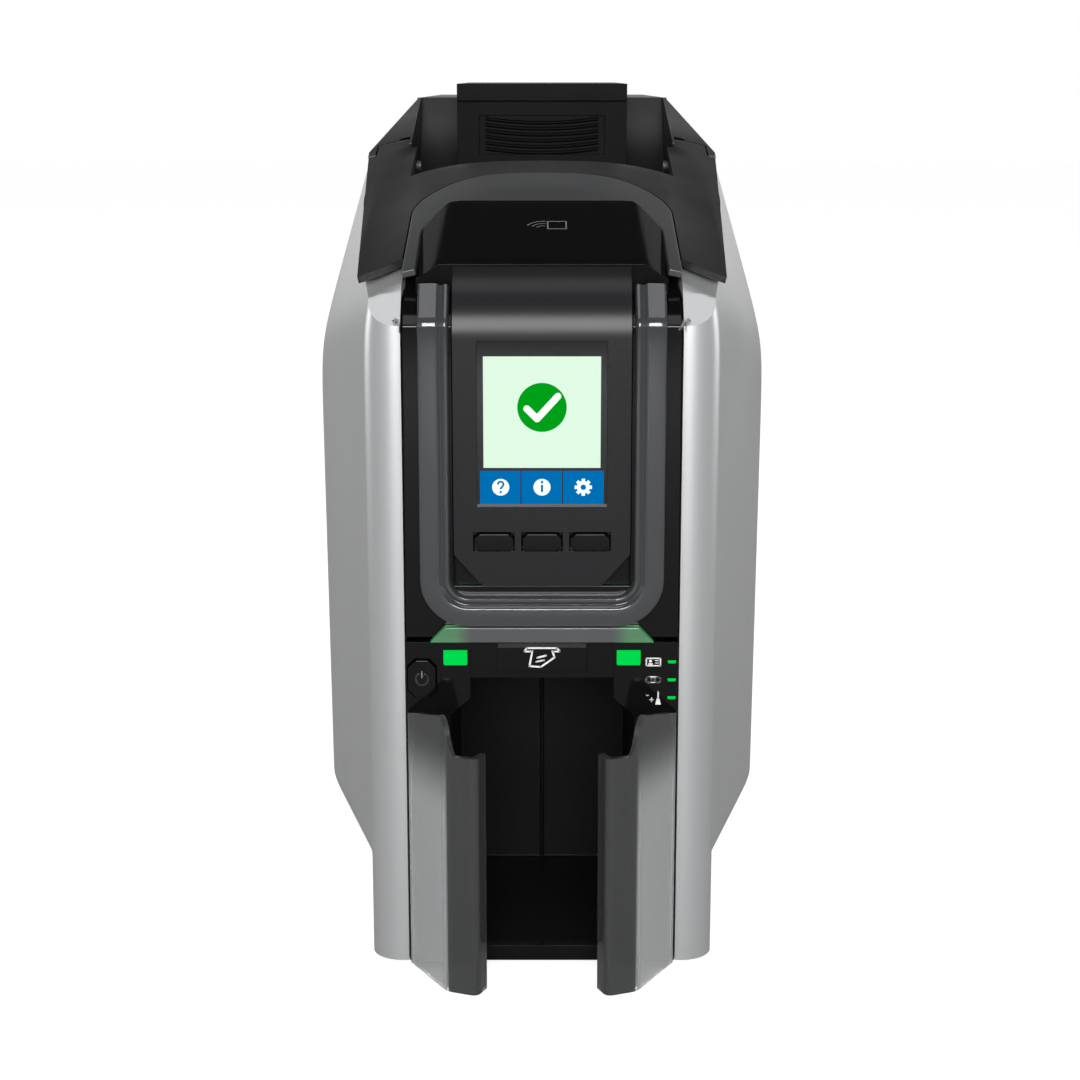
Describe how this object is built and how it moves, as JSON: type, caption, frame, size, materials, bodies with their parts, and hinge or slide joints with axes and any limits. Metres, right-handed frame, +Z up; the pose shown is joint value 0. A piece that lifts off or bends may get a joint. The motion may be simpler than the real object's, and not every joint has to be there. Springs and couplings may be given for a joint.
{
  "type": "id card printer",
  "caption": "Desktop printer for plastic identity cards, with a hinged lid that carries the display, a covered card feeder and an open card hopper in front.",
  "frame": {"origin": "on the table under the middle of the object's box", "axes": "+X to the viewer's right, +Y from the front to the back, +Z up"},
  "size_m": [0.163, 0.394, 0.277],
  "materials": {
    "silver": "satin silver paint over moulded plastic",
    "charcoal": "fine satin texture",
    "grey_band": "fine satin texture",
    "black": "high gloss",
    "black_satin": "satin",
    "display_grey": "semi gloss",
    "clear": "clear polycarbonate",
    "lamp_green": "lit light guide",
    "screen": "lit display under glass",
    "rubber": "matte",
    "roller_rubber": "ground rubber on a steel shaft",
    "steel": "zinc plated sheet",
    "brass": "sintered",
    "gear": "acetal",
    "board": "circuit board with parts",
    "port_metal": "tinned shell",
    "motor": "black motor with a steel flange",
    "head": "anodised heat sink with a ceramic edge",
    "ribbon": "colour ribbon film"
  },
  "bodies": {
    "base": {"base_pan": "black_satin", "rubber_feet": "rubber", "left_side_panel": "silver", "right_side_panel": "silver", "front_fascia": "black", "card_slot_plate": "black", "exit_lamps": "lamp_green", "status_lamps": "lamp_green", "output_bin": "black_satin", "left_card_guide": "clear", "right_card_guide": "clear", "rear_panel": "charcoal", "rear_top_housing": "charcoal", "feeder_bin": "black_satin", "feeder_hinge_rod": "steel", "left_frame_plate": "steel", "right_frame_plate": "steel", "frame_ties": "steel", "roller_bushes": "brass", "idler_studs": "steel", "main_board": "board", "power_inlet": "black_satin", "usb_port": "port_metal", "network_port": "port_metal", "drive_motor": "motor", "lid_hinge_pins": "steel", "case_screws": "steel"},
    "lid": {"lid_shell": "charcoal", "lid_band": "grey_band", "touch_cap": "black", "display_housing": "display_grey", "display_panel": "display_grey", "clear_bezel": "clear", "light_bar": "clear", "display_glass": "screen", "display_board": "board", "lid_frame": "steel", "print_head": "head", "ribbon_film": "ribbon"},
    "feeder_cover": {"feeder_cover": "charcoal"},
    "card_weight": {"card_weight": "black_satin"},
    "power_button": {"power_button": "black"},
    "menu_left": {"menu_button_left": "black"},
    "menu_centre": {"menu_button_centre": "black"},
    "menu_right": {"menu_button_right": "black"},
    "platen": {"platen_roller": "roller_rubber", "platen_gear": "gear"},
    "exit": {"exit_roller": "roller_rubber", "exit_gear": "gear"},
    "entry": {"entry_roller": "roller_rubber", "entry_gear": "gear"},
    "pick": {"pick_roller": "roller_rubber", "pick_gear": "gear"},
    "idler_1": {"idler_gear_1": "gear"},
    "idler_2": {"idler_gear_2": "gear"},
    "idler_3": {"idler_gear_3": "gear"},
    "pinion": {"motor_pinion": "brass"},
    "supply_spool": {"ribbon_supply": "ribbon"},
    "takeup_spool": {"ribbon_takeup": "ribbon"}
  },
  "joints": [
    {"name": "lid_hinge", "type": "hinge", "parent": "base", "child": "lid", "pos_m": [0, -0.002, 0.247], "axis": [-1, 0, 0], "range_deg": [0, 70]},
    {"name": "feeder_cover_hinge", "type": "hinge", "parent": "base", "child": "feeder_cover", "pos_m": [0, 0.169, 0.2676], "axis": [-1, 0, 0], "range_deg": [0, 80]},
    {"name": "card_weight_slide", "type": "slide", "parent": "base", "child": "card_weight", "axis": [0, 0, 1], "range_m": [0, 0.09]},
    {"name": "power_button_press", "type": "slide", "parent": "base", "child": "power_button", "axis": [0, 1, 0], "range_m": [0, 0.0008], "stiffness_N_per_m": 600},
    {"name": "menu_left_press", "type": "slide", "parent": "lid", "child": "menu_left", "axis": [0, 1, 0], "range_m": [0, 0.0008], "stiffness_N_per_m": 600},
    {"name": "menu_centre_press", "type": "slide", "parent": "lid", "child": "menu_centre", "axis": [0, 1, 0], "range_m": [0, 0.0008], "stiffness_N_per_m": 600},
    {"name": "menu_right_press", "type": "slide", "parent": "lid", "child": "menu_right", "axis": [0, 1, 0], "range_m": [0, 0.0008], "stiffness_N_per_m": 600},
    {"name": "platen_spin", "type": "hinge", "parent": "base", "child": "platen", "pos_m": [0, -0.05, 0.131], "axis": [1, 0, 0], "continuous": true},
    {"name": "exit_spin", "type": "hinge", "parent": "base", "child": "exit", "pos_m": [0, -0.106, 0.131], "axis": [1, 0, 0], "continuous": true},
    {"name": "entry_spin", "type": "hinge", "parent": "base", "child": "entry", "pos_m": [0, 0.006, 0.131], "axis": [1, 0, 0], "continuous": true},
    {"name": "pick_spin", "type": "hinge", "parent": "base", "child": "pick", "pos_m": [0, 0.062, 0.131], "axis": [1, 0, 0], "continuous": true},
    {"name": "idler_1_spin", "type": "hinge", "parent": "base", "child": "idler_1", "pos_m": [0, -0.078, 0.131], "axis": [1, 0, 0], "continuous": true},
    {"name": "idler_2_spin", "type": "hinge", "parent": "base", "child": "idler_2", "pos_m": [0, -0.022, 0.131], "axis": [1, 0, 0], "continuous": true},
    {"name": "idler_3_spin", "type": "hinge", "parent": "base", "child": "idler_3", "pos_m": [0, 0.034, 0.131], "axis": [1, 0, 0], "continuous": true},
    {"name": "pinion_spin", "type": "hinge", "parent": "base", "child": "pinion", "pos_m": [0, -0.05, 0.108], "axis": [1, 0, 0], "continuous": true},
    {"name": "supply_spin", "type": "hinge", "parent": "lid", "child": "supply_spool", "pos_m": [0, -0.018, 0.196], "axis": [1, 0, 0], "continuous": true},
    {"name": "takeup_spin", "type": "hinge", "parent": "lid", "child": "takeup_spool", "pos_m": [0, -0.086, 0.196], "axis": [1, 0, 0], "continuous": true}
  ],
  "couplings": [
    {"joint": "exit_spin", "follows": "platen_spin", "ratio": 1},
    {"joint": "entry_spin", "follows": "platen_spin", "ratio": 1},
    {"joint": "pick_spin", "follows": "platen_spin", "ratio": 1},
    {"joint": "idler_1_spin", "follows": "platen_spin", "ratio": -1},
    {"joint": "idler_2_spin", "follows": "platen_spin", "ratio": -1},
    {"joint": "idler_3_spin", "follows": "platen_spin", "ratio": -1},
    {"joint": "pinion_spin", "follows": "platen_spin", "ratio": -1.5556},
    {"joint": "takeup_spin", "follows": "supply_spin", "ratio": 1.4167}
  ]
}
